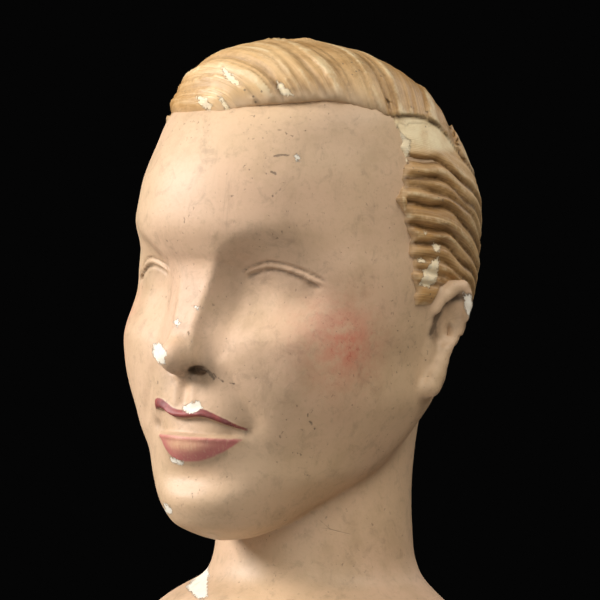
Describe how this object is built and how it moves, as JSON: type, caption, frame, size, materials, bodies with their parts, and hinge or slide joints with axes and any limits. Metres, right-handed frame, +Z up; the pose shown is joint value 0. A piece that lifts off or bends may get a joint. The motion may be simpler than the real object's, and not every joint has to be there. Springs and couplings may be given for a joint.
{
  "type": "display mannequin",
  "caption": "Full-body display mannequin in painted composition on a rod stand, with turning waist, arms, hands and left leg.",
  "frame": {"origin": "on the floor, at the centre of the round base's felt underside", "axes": "+Z up the figure; the figure faces -Y; +X is the figure's own left side"},
  "size_m": [0.566, 0.45, 1.85],
  "materials": {
    "skin_paint": "flesh-coloured oil paint over plastered papier-mache, satin, chipped",
    "wood": "plain sawn hardwood",
    "steel": "plain steel fittings, slightly dulled",
    "screw_steel": "slotted wood screws",
    "clamp_steel": "knurled thumb screw",
    "base_enamel": "dark stove enamel",
    "felt": "dark felt"
  },
  "bodies": {
    "stand": {"felt_pad": "felt", "base_plate": "base_enamel", "rod_flange": "steel", "stand_rod": "steel", "flange_screw_1": "screw_steel", "flange_screw_2": "screw_steel", "flange_screw_3": "screw_steel"},
    "clamp": {"clamp_screw": "clamp_steel"},
    "lower_body": {"pelvis_and_right_leg_shell": "skin_paint", "rod_tube": "steel", "waist_disc_lower": "wood", "thigh_disc_upper": "wood", "waist_socket": "steel", "thigh_socket": "steel", "waist_socket_screw_1": "screw_steel", "waist_socket_screw_2": "screw_steel"},
    "left_leg": {"left_leg_shell": "skin_paint", "thigh_disc_lower": "wood", "thigh_spigot": "steel", "thigh_cross_pin": "steel"},
    "upper_body": {"bust_shell": "skin_paint", "waist_disc_upper": "wood", "waist_spigot": "steel", "waist_cross_pin": "steel", "waist_spigot_screw_1": "screw_steel", "waist_spigot_screw_2": "screw_steel", "left_shoulder_block": "wood", "left_shoulder_plate": "steel", "left_plate_screw_1": "screw_steel", "left_plate_screw_2": "screw_steel", "right_shoulder_block": "wood", "right_shoulder_plate": "steel", "right_plate_screw_1": "screw_steel", "right_plate_screw_2": "screw_steel"},
    "left_arm": {"left_arm_shell": "skin_paint", "left_arm_disc": "wood", "left_arm_stud": "steel", "left_wrist_plug": "wood"},
    "right_arm": {"right_arm_shell": "skin_paint", "right_arm_disc": "wood", "right_arm_stud": "steel", "right_wrist_plug": "wood"},
    "left_hand": {"left_hand": "skin_paint", "left_hand_peg": "wood"},
    "right_hand": {"right_hand": "skin_paint", "right_hand_peg": "wood"}
  },
  "joints": [
    {"name": "clamp_screw_turn", "type": "hinge", "parent": "stand", "child": "clamp", "pos_m": [-0.095, 0.055, 0.0235], "axis": [0, 1, 0], "continuous": true},
    {"name": "figure_lift", "type": "slide", "parent": "stand", "child": "lower_body", "axis": [0, 0, 1], "range_m": [0, 0.14]},
    {"name": "left_leg_turn", "type": "hinge", "parent": "lower_body", "child": "left_leg", "pos_m": [0.086, 0.024, 0.77], "axis": [0, 0, 1], "range_deg": [0, 20]},
    {"name": "waist_turn", "type": "hinge", "parent": "lower_body", "child": "upper_body", "pos_m": [0, 0.03, 1.115], "axis": [0, 0, 1], "range_deg": [0, 20]},
    {"name": "left_shoulder_turn", "type": "hinge", "parent": "upper_body", "child": "left_arm", "pos_m": [0.158, 0.04, 1.475], "axis": [-1, 0, 0], "range_deg": [-20, 60]},
    {"name": "right_shoulder_turn", "type": "hinge", "parent": "upper_body", "child": "right_arm", "pos_m": [-0.158, 0.04, 1.475], "axis": [-1, 0, 0], "range_deg": [-20, 60]},
    {"name": "left_wrist_turn", "type": "hinge", "parent": "left_arm", "child": "left_hand", "pos_m": [0.262, 0.004, 0.933], "axis": [0, 0, 1], "range_deg": [-30, 30]},
    {"name": "right_wrist_turn", "type": "hinge", "parent": "right_arm", "child": "right_hand", "pos_m": [-0.262, 0.004, 0.933], "axis": [0, 0, 1], "range_deg": [-30, 30]}
  ]
}
